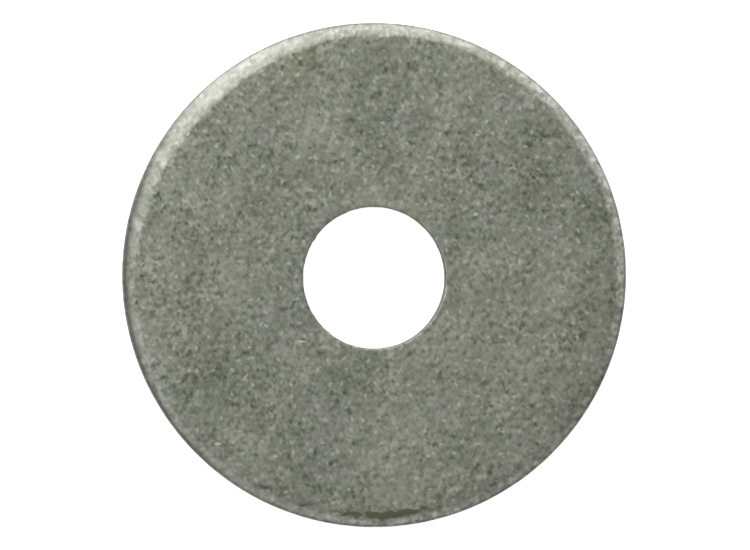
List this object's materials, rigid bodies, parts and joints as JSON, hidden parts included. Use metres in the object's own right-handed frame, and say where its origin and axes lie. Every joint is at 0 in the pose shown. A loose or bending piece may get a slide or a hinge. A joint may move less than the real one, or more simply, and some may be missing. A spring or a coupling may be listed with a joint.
{
  "type": "flat washer",
  "caption": "Round flat steel washer with a small central bolt hole, a rolled-over outer edge and a wide bearing face that spreads a fastener's load.",
  "frame": {"origin": "on the bore's axis, in the plane of the bottom bearing face", "axes": "+Z along the bore's axis, out of the face whose rim is rolled over; +X and +Y lie in the face, and the rim's centre is 0.14 mm from the bore's axis towards +Y"},
  "size_m": [0.0254, 0.0254, 0.0016],
  "materials": {
    "tumbled_steel": "satin"
  },
  "bodies": {
    "root": {"washer": "tumbled_steel"}
  },
  "joints": []
}
